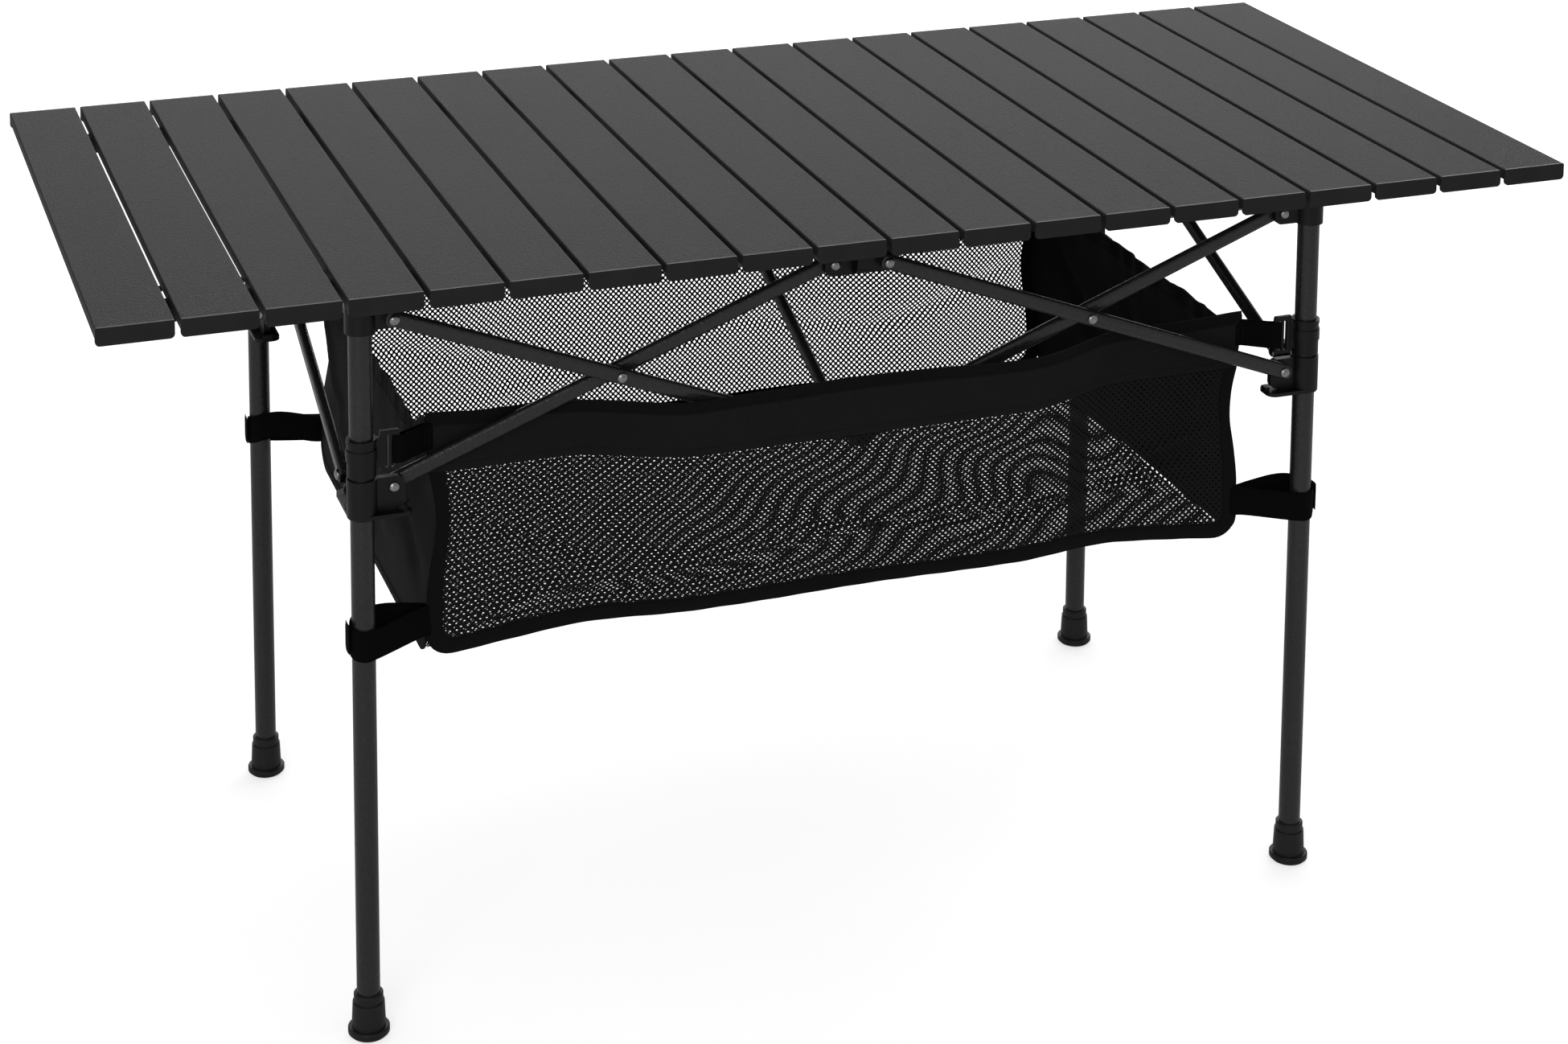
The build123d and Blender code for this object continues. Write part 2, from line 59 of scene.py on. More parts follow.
# ---- places taken from the frame ----
pivot = {joint["name"]: Vector(joint.get("pos_m", (0, 0, 0))) for joint in frame["joints"]}
LEG_X = (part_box("leg_front_right")[0].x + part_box("leg_front_right")[1].x) / 2
LEG_Y = (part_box("leg_back_left")[0].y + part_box("leg_back_left")[1].y) / 2
TOP_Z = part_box("slat_01")[1].z
TOP_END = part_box("slat_01")[1].y
TOP_PIN_Z = pivot["frame_fold"].z
LOW_PIN_Z = pivot["front_left_slider_travel"].z
LEG_PIN_X = -pivot["frame_fold"].x
HUB_PIN_X = pivot["front_right_bar_pivot"].x
END_PIN_Y = -pivot["left_cross_bar_pivot"].y
CORNERS = {"front_left": (-1, -1), "front_right": (1, -1), "back_left": (-1, 1), "back_right": (1, 1)}

# ---- basket sizes ----
BASKET_X = 345 * MM
BASKET_Y = 195 * MM
BASKET_BOW = 33 * MM
BOW_START = 240 * MM
BOW_FULL = 135 * MM
LOW_BOW_SHARE = 0.45
RIM_Z = 481.5 * MM
BAND_LOW_Z = 438 * MM
FLOOR_CORNER_Z = 288 * MM
FLOOR_FRONT_RISE = 16 * MM
FLOOR_BACK_RISE = -3 * MM
SIDE_RIM_Z = 466 * MM
PANEL_CORNER_RADIUS = 22 * MM
HEM = 10 * MM
BINDING_WIDTH = 12 * MM
BINDING_THICKNESS = 2.2 * MM
FRONT_MESH_PITCH = 5.8 * MM
FRONT_MESH_HOLE = 0.4
MESH_PITCH = 5.0 * MM
MESH_HOLE = 0.49
ROUNDNESS = 0.64
STRAND_RIDGE = 0.35 * MM

# ---- small measures of the frame ----
SLAT_PITCH = 60 * MM
CAP_LENGTH = 2 * MM
RIVET_RADIUS = 4.25 * MM
RIVET_HEIGHT = 2.6 * MM
RIVET_NEAR = 2.86 * MM
RIVET_FAR = 11.06 * MM

# ---- light ----
SURROUND_LIGHT = 0.42
FLOOR_GLOW = 0.6


# =====================================================================
# Materials
# =====================================================================
class Shader:
    """One material's node graph, with a short call for each kind of node it uses."""

    def __init__(self, name):
        self.material = bpy.data.materials.new(name)
        self.material.use_nodes = True
        self.tree = self.material.node_tree
        self.surface = self.tree.nodes["Principled BSDF"]
        self.place = self.node("ShaderNodeTexCoord").outputs["Object"]
        split = self.node("ShaderNodeSeparateXYZ", {"Vector": self.place})
        self.x, self.y, self.z = split.outputs

    def node(self, kind, inputs=None, **settings):
        made = self.tree.nodes.new(kind)
        for key, value in settings.items():
            setattr(made, key, value)
        for key, value in (inputs or {}).items():
            self.feed(made.inputs[key], value)
        return made

    def feed(self, socket, value):
        if isinstance(value, bpy.types.NodeSocket):
            self.tree.links.new(value, socket)
        else:
            socket.default_value = value

    def math(self, operation, a, b=0.0):
        return self.node("ShaderNodeMath", {0: a, 1: b}, operation=operation).outputs[0]

    def product(self, *factors):
        result = factors[0]
        for factor in factors[1:]:
            result = self.math("MULTIPLY", result, factor)
        return result

    def stretched(self, scale, turn=(0.0, 0.0, 0.0)):
        return self.node("ShaderNodeMapping", {"Vector": self.place, "Scale": scale, "Rotation": turn}).outputs[0]

    def noise(self, scale, detail=2.0, vector=None):
        inputs = {"Vector": vector or self.place, "Scale": scale, "Detail": detail}
        return self.node("ShaderNodeTexNoise", inputs).outputs[0]

    def cells(self, scale):
        inputs = {"Vector": self.place, "Scale": scale, "Smoothness": 0.6}
        return self.node("ShaderNodeTexVoronoi", inputs, feature="SMOOTH_F1").outputs["Distance"]

    def remap(self, value, low, high, new_low, new_high):
        inputs = {"Value": value, "From Min": low, "From Max": high, "To Min": new_low, "To Max": new_high}
        return self.node("ShaderNodeMapRange", inputs).outputs[0]

    def blend(self, share, a, b):
        return self.node("ShaderNodeMix", {0: share, 2: a, 3: b}, data_type="FLOAT").outputs[0]

    def grey(self, level, warmth=1.0):
        """A near neutral colour of a brightness that may come from nodes."""
        tint = (warmth, 1.0, 2.0 - warmth)
        return self.node("ShaderNodeVectorMath", {0: tint, "Scale": level}, operation="SCALE").outputs[0]

    def bump(self, height, distance, normal=None):
        inputs = {"Height": height, "Distance": distance, "Strength": 1.0}
        if normal:
            inputs["Normal"] = normal
        return self.node("ShaderNodeBump", inputs).outputs[0]

    def edge(self, radius):
        """0 on flat faces, towards 1 on sharp edges: the mask for a painted highlight where paint and plastic catch
        the light.
        """
        rounded = self.node("ShaderNodeBevel", {"Radius": radius}, samples=4).outputs[0]
        flat = self.node("ShaderNodeNewGeometry").outputs["True Normal"]
        along = self.node("ShaderNodeVectorMath", {0: rounded, 1: flat}, operation="DOT_PRODUCT").outputs["Value"]
        return self.remap(along, 1.0, 0.8, 0.0, 1.0)

    def finish(self, **values):
        for name, value in values.items():
            self.feed(self.surface.inputs[name.replace("_", " ")], value)
        return self.material


def powder_coat():
    """Dark grey leather-textured coat on the slats, smooth black plastic on their caps and bushings. The slats' side
    walls in the gaps and their sharp edges carry painted light.
    """
    s = Shader("powder_coat")
    gap = s.math("PINGPONG", s.x, SLAT_PITCH / 2)
    on_cap = s.math("GREATER_THAN", s.math("ABSOLUTE", s.y), TOP_END - CAP_LENGTH)
    slat_number = s.math("FLOOR", s.math("DIVIDE", s.x, SLAT_PITCH))
    own_tone = s.node("ShaderNodeTexWhiteNoise", {"W": slat_number}, noise_dimensions="1D").outputs["Value"]
    peel = s.cells(720.0)
    grain = s.noise(1500.0, 3.0)
    drawn = s.noise(55.0, 3.0, s.stretched((1.0, 9.0, 9.0), (0.0, 0.0, 0.75)))
    cloud = s.noise(7.0)
    level = s.product(
        0.0148,
        s.remap(own_tone, 0.0, 1.0, 0.95, 1.05),
        s.remap(peel, 0.1, 0.7, 1.3, 0.7),
        s.remap(grain, 0.35, 0.65, 0.82, 1.18),
        s.remap(drawn, 0.35, 0.65, 0.93, 1.07),
        s.remap(cloud, 0.35, 0.65, 0.95, 1.05),
    )
    # Painted highlight: the slats' side walls in the gaps are painted 1.6 times lighter, as if lit.
    gap_wall_painted_light = s.product(s.math("LESS_THAN", gap, 2.6 * MM), s.math("LESS_THAN", s.z, TOP_Z - 1.0 * MM))
    level = s.product(level, s.remap(gap_wall_painted_light, 0.0, 1.0, 1.0, 1.6))
    # Painted highlight: sharp slat edges are painted lighter.
    level = s.math("ADD", level, s.product(s.edge(0.9 * MM), 0.018))
    cap_level = s.product(0.012, s.remap(s.noise(40.0), 0.3, 0.7, 0.85, 1.15))
    height = s.math("ADD", s.product(peel, 0.7), s.product(grain, 0.5))
    height = s.product(height, s.remap(on_cap, 0.0, 1.0, 1.0, 0.08))
    return s.finish(
        Base_Color=s.grey(s.blend(on_cap, level, cap_level), 0.99),
        Roughness=s.blend(on_cap, s.remap(grain, 0.3, 0.7, 0.5, 0.68), 0.42),
        Specular_IOR_Level=s.blend(on_cap, 0.15, 0.2),
        Normal=s.bump(height, 0.5 * MM),
    )


def hammered_paint():
    """Glossy dark paint with shallow hammered dimples, on tubes and bars."""
    s = Shader("hammered_paint")
    dimples = s.cells(330.0)
    fine = s.noise(1100.0, 3.0)
    cloud = s.noise(16.0)
    level = s.product(
        0.0125,
        s.remap(dimples, 0.1, 0.75, 1.2, 0.8),
        s.remap(fine, 0.3, 0.7, 0.85, 1.15),
        s.remap(cloud, 0.3, 0.7, 0.9, 1.1),
    )
    # Painted highlight: sharp edges of tubes and bars are painted lighter.
    level = s.math("ADD", level, s.product(s.edge(0.5 * MM), 0.02))
    height = s.math("ADD", s.product(dimples, 0.8), s.product(fine, 0.35))
    return s.finish(
        Base_Color=s.grey(level, 0.99),
        Roughness=s.remap(fine, 0.3, 0.7, 0.24, 0.42),
        Specular_IOR_Level=0.42,
        Coat_Weight=0.15,
        Coat_Roughness=0.2,
        Normal=s.bump(height, 0.3 * MM),
    )


def moulded_plastic(name, tone):
    """Satin black plastic with a fine moulded grain and lighter edges, partly rubbed wear and partly a painted
    highlight.
    """
    s = Shader(name)
    grain = s.noise(2600.0, 2.0)
    scuffs = s.noise(90.0, 4.0, s.stretched((1.0, 1.0, 0.25)))
    level = s.product(tone, s.remap(grain, 0.3, 0.7, 0.88, 1.12), s.remap(scuffs, 0.3, 0.75, 0.9, 1.25))
    # Lighter edges: rubbed wear, and a painted highlight where the edges catch the light.
    level = s.math("ADD", level, s.product(s.edge(0.7 * MM), tone))
    return s.finish(
        Base_Color=s.grey(level, 0.995),
        Roughness=s.remap(scuffs, 0.3, 0.7, 0.36, 0.5),
        Specular_IOR_Level=0.25,
        Normal=s.bump(grain, 0.06 * MM),
    )


def polished_nickel():
    """Bright rivet metal with fine tool marks."""
    s = Shader("polished_nickel")
    marks = s.noise(1800.0, 3.0, s.stretched((1.0, 1.0, 0.15)))
    return s.finish(
        Base_Color=s.grey(s.remap(marks, 0.3, 0.7, 0.22, 0.36), 1.01),
        Metallic=1.0,
        Roughness=s.remap(marks, 0.3, 0.7, 0.18, 0.3),
        Normal=s.bump(marks, 0.03 * MM),
    )


def woven(name, level, across, thread, sheen):
    """Woven cloth: warp and weft bumps across the axis that the cloth doesn't face, with uneven dye."""
    s = Shader(name)
    turns = 2 * math.pi / thread
    warp = s.math("SINE", s.product({"x": s.x, "y": s.y}[across], turns))
    weft = s.math("SINE", s.product(s.z, turns))
    weave = s.product(warp, weft)
    fuzz = s.noise(900.0, 3.0)
    cloud = s.noise(22.0, 3.0)
    shade = s.product(
        level,
        s.remap(weave, -1.0, 1.0, 0.72, 1.28),
        s.remap(fuzz, 0.3, 0.7, 0.8, 1.2),
        s.remap(cloud, 0.3, 0.7, 0.82, 1.18),
    )
    height = s.math("ADD", s.product(weave, 0.5), fuzz)
    return s.finish(
        Base_Color=s.grey(shade, 0.985),
        Roughness=s.remap(cloud, 0.3, 0.7, 0.8, 0.95),
        Specular_IOR_Level=0.12,
        Sheen_Weight=sheen,
        Sheen_Roughness=0.5,
        Normal=s.bump(height, 0.12 * MM),
    )


def webbing():
    """Ribbed polyester webbing: ribs along its run and a herringbone of threads."""
    s = Shader("webbing")
    ribs = s.math("SINE", s.product(s.z, 2 * math.pi / (1.6 * MM)))
    slant = s.math("ADD", s.math("ADD", s.x, s.y), s.product(s.z, 0.8))
    twill = s.math("SINE", s.product(slant, 2 * math.pi / (0.9 * MM)))
    fuzz = s.noise(1300.0, 3.0)
    shade = s.product(0.0018, s.remap(ribs, -1.0, 1.0, 0.75, 1.25), s.remap(fuzz, 0.3, 0.7, 0.8, 1.2))
    height = s.math("ADD", s.math("ADD", s.product(ribs, 0.6), s.product(twill, 0.35)), s.product(fuzz, 0.4))
    return s.finish(
        Base_Color=s.grey(shade, 0.99),
        Roughness=s.remap(fuzz, 0.3, 0.7, 0.74, 0.92),
        Specular_IOR_Level=0.07,
        Normal=s.bump(height, 0.16 * MM),
    )


def pale_floor():
    """Studio paper. Its own glow shows to the camera only, and keeps it white under soft light."""
    s = Shader("pale_floor")
    mottle = s.noise(3.0, 3.0)
    to_camera = s.node("ShaderNodeLightPath").outputs["Is Camera Ray"]
    return s.finish(
        Base_Color=s.grey(s.remap(mottle, 0.3, 0.7, 0.84, 0.86)),
        Roughness=0.9,
        Specular_IOR_Level=0.1,
        Emission_Color=(1.0, 1.0, 1.0, 1.0),
        Emission_Strength=s.product(to_camera, FLOOR_GLOW),
    )


COAT = powder_coat()
PAINT = hammered_paint()
PLASTIC = moulded_plastic("moulded_plastic", 0.0035)
FOOT_PLASTIC = moulded_plastic("foot_plastic", 0.0115)
NICKEL = polished_nickel()
BAND_CLOTH = woven("band_cloth", 0.009, "x", 0.9 * MM, 0.01)
SIDE_CLOTH = woven("side_cloth", 0.008, "y", 0.9 * MM, 0.01)
MESH_CLOTH = woven("mesh_cloth", 0.009, "x", 0.6 * MM, 0.0)
BINDING = woven("binding_tape", 0.0036, "x", 0.8 * MM, 0.01)
THREAD = woven("sewing_thread", 0.009, "x", 0.4 * MM, 0.02)
WEBBING = webbing()


def dress_frame():
    """Gives every CAD node that stays its material."""
    for name, node in frame["nodes"].items():
        if name.startswith("slat_") or name == "support_rails":
            material = COAT
        elif name.startswith(("leg_", "bar_")):
            material = PAINT
        elif name.startswith("foot_"):
            material = FOOT_PLASTIC
        else:
            material = PLASTIC
        for place in node.material_slots:
            place.material = material


# =====================================================================
# Mesh building
# =====================================================================
class Sewing:
    """Collects the points and faces of one piece. Each part may take its own material."""

    def __init__(self, *materials):
        self.materials = materials
        self.points, self.faces, self.slots = [], [], []
        self.count = 0

    def add(self, points, faces, slot=0):
        self.points.append(np.asarray(points, float).reshape(-1, 3))
        self.faces.extend((np.asarray(faces) + self.count).tolist())
        slots = np.broadcast_to(np.asarray(slot), (len(faces),))
        self.slots.append(slots)
        self.count += len(self.points[-1])

    def make(self, name):
        mesh = bpy.data.meshes.new(name)
        mesh.from_pydata(np.concatenate(self.points).tolist(), [], self.faces)
        for material in self.materials:
            mesh.materials.append(material)
        mesh.polygons.foreach_set("material_index", np.concatenate(self.slots).astype(np.int32))
        mesh.polygons.foreach_set("use_smooth", np.ones(len(self.faces), bool))
        mesh.update()
        piece = bpy.data.objects.new(name, mesh)
        bpy.context.scene.collection.objects.link(piece)
        return piece


def normals_of(surface, u, v):
    """Unit normals of a surface given as surface(u, v) -> points."""
    step = 0.2 * MM
    along_u = surface(u + step, v) - surface(u - step, v)
    along_v = surface(u, v + step) - surface(u, v - step)
    normal = np.cross(along_u, along_v)
    return normal / np.maximum(np.linalg.norm(normal, axis=-1, keepdims=True), 1e-12)


def sheet(sewing, us, vs, surface, thickness, relief=None, slot_of=None, loop=False):
    """A sheet of cloth with two faces and closed, softened edges. relief lifts its outer face."""
    u, v = np.meshgrid(us, vs, indexing="ij")
    middle = surface(u, v)
    normal = normals_of(surface, u, v)
    half = np.full(u.shape, thickness / 2)
    half[:, [0, -1]] *= 0.4
    if not loop:
        half[[0, -1], :] *= 0.4
    lift = relief(u, v) if relief else 0.0
    outer = middle + normal * (half + lift)[..., None]
    inner = middle - normal * half[..., None]
    rows, columns = u.shape
    index = np.arange(rows * columns).reshape(rows, columns)
    wrap = np.concatenate([index, index[:1]]) if loop else index
    quads = np.stack([wrap[:-1, :-1], wrap[1:, :-1], wrap[1:, 1:], wrap[:-1, 1:]], axis=-1).reshape(-1, 4)
    inside = quads[:, ::-1] + rows * columns
    if slot_of is None:
        slots = np.zeros(len(quads), int)
    else:
        corner_v = v.reshape(-1)[np.minimum(quads[:, 0], rows * columns - 1)]
        corner_u = u.reshape(-1)[np.minimum(quads[:, 0], rows * columns - 1)]
        slots = slot_of(corner_u, corner_v).astype(int)
    borders = [wrap[::-1, 0], wrap[:, -1]]
    if not loop:
        borders += [index[0, :], index[-1, ::-1]]
    walls = [
        np.stack([border[:-1], border[1:], border[1:] + rows * columns, border[:-1] + rows * columns], axis=-1)
        for border in borders
    ]
    walls = np.concatenate(walls)[:, ::-1]
    points = np.concatenate([outer.reshape(-1, 3), inner.reshape(-1, 3)])
    wall_slots = np.full(len(walls), slots[0])
    sewing.add(points, np.concatenate([quads, inside, walls]), np.concatenate([slots, slots, wall_slots]))


def lattice(sewing, width, height, surface, inside, pitch, hole_size, round_holes, spare=0):
    """Open mesh cloth: holes in staggered rows, diamonds or rounder ones. Strands are raised along
    their middles. spare adds columns after the width, which close the seam to the next strip."""
    columns = 2 * int(round(width / pitch))
    rows = 2 * int(round(height / pitch))
    step_u, step_v = width / columns, height / rows
    columns += spare
    i, j = np.meshgrid(np.arange(columns + 1), np.arange(rows + 1), indexing="ij")
    hole = ((i + j) % 2 == 0) & (i > 0) & (i < columns) & (j > 0) & (j < rows)
    hole &= inside(i * step_u, j * step_v)
    hi, hj = i[hole], j[hole]
    count = len(hi)
    points, total = [], 0

    def ridge_points(used, shift):
        """Raised points at the marked places of a grid, and the grid of their numbers."""
        nonlocal total
        key = np.full(used.shape, -1)
        key[used] = np.arange(used.sum()) + total
        gi, gj = np.nonzero(used)
        u, v = (gi + shift) * step_u, (gj + shift) * step_v
        points.append(surface(u, v) + normals_of(surface, u, v) * STRAND_RIDGE)
        total += len(u)
        return key

    def hole_points(di, dj):
        nonlocal total
        points.append(surface((hi + di) * step_u, (hj + dj) * step_v))
        total += count
        return np.arange(count) + total - count

    steps = ((1, 0), (0, 1), (-1, 0), (0, -1))
    used = np.zeros(i.shape, bool)
    for di, dj in steps:
        used[hi + di, hj + dj] = True
    crossings = ridge_points(used, 0.0)
    rims = [hole_points(di * hole_size, dj * hole_size) for di, dj in steps]
    corners = ((0, 0), (-1, 0), (-1, -1), (0, -1))
    if round_holes:
        used = np.zeros(i.shape, bool)
        for ci, cj in corners:
            used[hi + ci, hj + cj] = True
        middles = ridge_points(used, 0.5)
    faces = []
    for k, (di, dj) in enumerate(steps):
        ni, nj = steps[(k + 1) % 4]
        here, there = crossings[hi + di, hj + dj], crossings[hi + ni, hj + nj]
        if round_holes:
            swell = hole_size * ROUNDNESS
            corner = hole_points((di + ni) * swell, (dj + nj) * swell)
            middle = middles[hi + corners[k][0], hj + corners[k][1]]
            faces.append(np.stack([here, middle, corner, rims[k]], axis=-1))
            faces.append(np.stack([middle, there, rims[(k + 1) % 4], corner], axis=-1))
        else:
            faces.append(np.stack([here, there, rims[(k + 1) % 4], rims[k]], axis=-1))
    sewing.add(np.concatenate(points), np.concatenate(faces))


def stitches(sewing, line, normal, slot, pitch=3.2 * MM, length=2.3 * MM, radius=0.32 * MM):
    """A row of raised thread stitches along a line of points."""
    run = np.concatenate([[0], np.cumsum(np.linalg.norm(np.diff(line, axis=0), axis=1))])
    places = np.arange(pitch, run[-1] - pitch, pitch)
    if len(places) == 0:
        return
    at = np.stack([np.interp(places, run, line[:, k]) for k in range(3)], axis=-1)
    ahead = np.stack([np.interp(places + pitch / 2, run, line[:, k]) for k in range(3)], axis=-1) - at
    ahead /= np.linalg.norm(ahead, axis=1, keepdims=True)
    out = np.stack([np.interp(places, run, normal[:, k]) for k in range(3)], axis=-1)
    out /= np.linalg.norm(out, axis=1, keepdims=True)
    side = np.cross(ahead, out)
    sides = 5
    rings = [(-0.5, 0.0), (-0.3, 1.0), (0.3, 1.0), (0.5, 0.0)]
    points = []
    for reach, swell in rings:
        for k in range(sides):
            angle = 2 * math.pi * k / sides
            offset = (out * math.cos(angle) + side * math.sin(angle)) * radius * max(swell, 0.15)
            points.append(at + ahead * (length * reach) + offset)
    points = np.stack(points, axis=1)
    faces = [
        [r * sides + k, r * sides + (k + 1) % sides, (r + 1) * sides + (k + 1) % sides, (r + 1) * sides + k]
        for r in range(len(rings) - 1)
        for k in range(sides)
    ]
    faces = np.array(faces)[None] + (np.arange(len(at)) * points.shape[1])[:, None, None]
    sewing.add(points, faces.reshape(-1, 4), slot)


def smooth(t):
    """0 to 1 with flat ends."""
    t = np.clip(t, 0.0, 1.0)
    return t * t * (3 - 2 * t)


def bell(distance, width):
    return np.exp(-((distance / width) ** 2))


def fold_line(u, v, start, end, width, height):
    """A soft ridge along a line on the cloth, dying out at both ends."""
    du, dv = end[0] - start[0], end[1] - start[1]
    length = math.hypot(du, dv)
    along = ((u - start[0]) * du + (v - start[1]) * dv) / length
    away = ((u - start[0]) * dv - (v - start[1]) * du) / length
    fade = smooth(along / (0.25 * length)) * smooth((length - along) / (0.25 * length))
    return height * bell(away, width) * fade


# =====================================================================
# Basket
# =====================================================================
def bow(x, share=1.0):
    """How far a long side stands out from the corners' line, from its lower edge (0) to its band (1)."""
    full = BASKET_BOW * (LOW_BOW_SHARE + (1 - LOW_BOW_SHARE) * smooth(share))
    return full * smooth((BOW_START - np.abs(x)) / (BOW_START - BOW_FULL))


def floor_edge(x, rise):
    """Height of the lower edge of a long side, which rises or sags between its corners."""
    return FLOOR_CORNER_Z + rise * (1 - (np.abs(x) / BASKET_X) ** 3.5)


def rim(x):
    """Height of the upper edge of a long side, a little slack between the corners."""
    return RIM_Z + 2.4 * MM * np.cos(x / (55 * MM)) * bell(x, 260 * MM) + 2.5 * MM * smooth(
        (np.abs(x) - 300 * MM) / (45 * MM)
    )


def pulled_in(z):
    """The corners are drawn inwards between the two straps."""
    return 9 * MM * bell(z - 398 * MM, 42 * MM)


def long_side(y_side, creases):
    """The surface of the front (-1) or back (+1) side, as a function of x and of height on the cloth."""

    rise = FLOOR_FRONT_RISE if y_side < 0 else FLOOR_BACK_RISE

    def surface(x, z):
        low = floor_edge(x, rise)
        drop = (BAND_LOW_Z - low) / (BAND_LOW_Z - FLOOR_CORNER_Z)
        height = np.where(z < BAND_LOW_Z, BAND_LOW_Z - (BAND_LOW_Z - z) * drop, z)
        top = rim(x)
        height = np.where(z > BAND_LOW_Z, BAND_LOW_Z + (z - BAND_LOW_Z) * (top - BAND_LOW_Z) / (RIM_Z - BAND_LOW_Z), height)
        slack = smooth((BAND_LOW_Z + 4 * MM - z) / (30 * MM))
        out = bow(x, (height - low) / (BAND_LOW_Z - low)) + slack * 1.2 * MM * np.sin(x / (31 * MM) + z / (17 * MM))
        for start, end, width, size in creases:
            out = out + slack * fold_line(x, z, start, end, width, size)
        out = out + 0.5 * MM * np.sin(x / (13 * MM)) * smooth((z - BAND_LOW_Z) / (30 * MM))
        end_share = (np.abs(x) / BASKET_X) ** 8
        across = x - np.sign(x) * end_share * pulled_in(height)
        return np.stack([across, y_side * (BASKET_Y + out), height], axis=-1)

    return surface


FRONT_CREASES = (
    ((-345 * MM, 408 * MM), (-190 * MM, 330 * MM), 5.5 * MM, -5.5 * MM),
    ((-300 * MM, 316 * MM), (40 * MM, 350 * MM), 6 * MM, 6.0 * MM),
    ((-330 * MM, 300 * MM), (-180 * MM, 345 * MM), 5 * MM, 4.0 * MM),
    ((-250 * MM, 306 * MM), (-40 * MM, 322 * MM), 5 * MM, -4.5 * MM),
    ((60 * MM, 314 * MM), (345 * MM, 372 * MM), 6 * MM, -5.5 * MM),
    ((345 * MM, 395 * MM), (190 * MM, 345 * MM), 6 * MM, 5.0 * MM),
    ((-60 * MM, 360 * MM), (170 * MM, 325 * MM), 6 * MM, -4.5 * MM),
    ((100 * MM, 344 * MM), (330 * MM, 338 * MM), 5.5 * MM, 5.0 * MM),
    ((-120 * MM, 352 * MM), (180 * MM, 346 * MM), 5 * MM, 5.0 * MM),
)
BACK_CREASES = (
    ((-345 * MM, 400 * MM), (-150 * MM, 350 * MM), 7 * MM, 4.5 * MM),
    ((-250 * MM, 320 * MM), (60 * MM, 350 * MM), 7 * MM, -4.5 * MM),
    ((345 * MM, 405 * MM), (150 * MM, 335 * MM), 7 * MM, 5.0 * MM),
    ((-20 * MM, 375 * MM), (210 * MM, 345 * MM), 6 * MM, 4.0 * MM),
)


def rounded_u(half_width, top, low, radius, spacing):
    """The edge line of a panel's open mesh: down one end, round the corner, along, and up the other end."""
    arc = np.linspace(0, math.pi / 2, 9)
    down = np.arange(top, low + radius, -spacing)
    left = [(-half_width, z) for z in down]
    left += [(-half_width + radius - radius * math.cos(a), low + radius - radius * math.sin(a)) for a in arc]
    flat = np.arange(-half_width + radius + spacing, -spacing / 2, spacing)
    left += [(x, low) for x in flat]
    left = np.array(left)
    right = left[::-1] * (-1, 1)
    return np.concatenate([left, [(0.0, low)], right])


def along_line(line):
    """Turns a flat line into functions of its length: the place and the inward direction."""
    run = np.concatenate([[0], np.cumsum(np.linalg.norm(np.diff(line, axis=0), axis=1))])
    ahead = np.gradient(line, run, axis=0)
    ahead /= np.linalg.norm(ahead, axis=1, keepdims=True)
    inward = np.stack([-ahead[:, 1], ahead[:, 0]], axis=-1)

    def place(length, reach):
        at = np.stack([np.interp(length, run, line[:, k]) for k in range(2)], axis=-1)
        to = np.stack([np.interp(length, run, inward[:, k]) for k in range(2)], axis=-1)
        return at + to * np.asarray(reach)[..., None]

    return run, place


def binding(sewing, line, panel, width, slot, thread_slot):
    """A folded tape sewn over an edge line of a panel, with a row of stitches."""
    run, place = along_line(line)

    def surface(length, reach):
        spot = place(length, reach)
        return panel(spot[..., 0], spot[..., 1])

    def puff(length, reach):
        share = reach / width
        return 0.5 * MM * np.sin(np.clip(share, 0, 1) * math.pi) + 0.25 * MM * np.sin(length / (5.5 * MM))

    lengths = np.linspace(0, run[-1], int(run[-1] / (4 * MM)))
    reaches = np.linspace(-1.2 * MM, width, 6)
    sheet(sewing, lengths, reaches, surface, BINDING_THICKNESS, puff, lambda u, v: np.full(u.shape, slot))
    seam = np.full(lengths.shape, width - 2.2 * MM)
    normal = normals_of(surface, lengths, seam)
    for face in (1, -1):
        lift = face * (BINDING_THICKNESS / 2 + (0.4 * MM if face > 0 else 0.0))
        stitches(sewing, surface(lengths, seam) + normal * lift, normal * face, thread_slot)


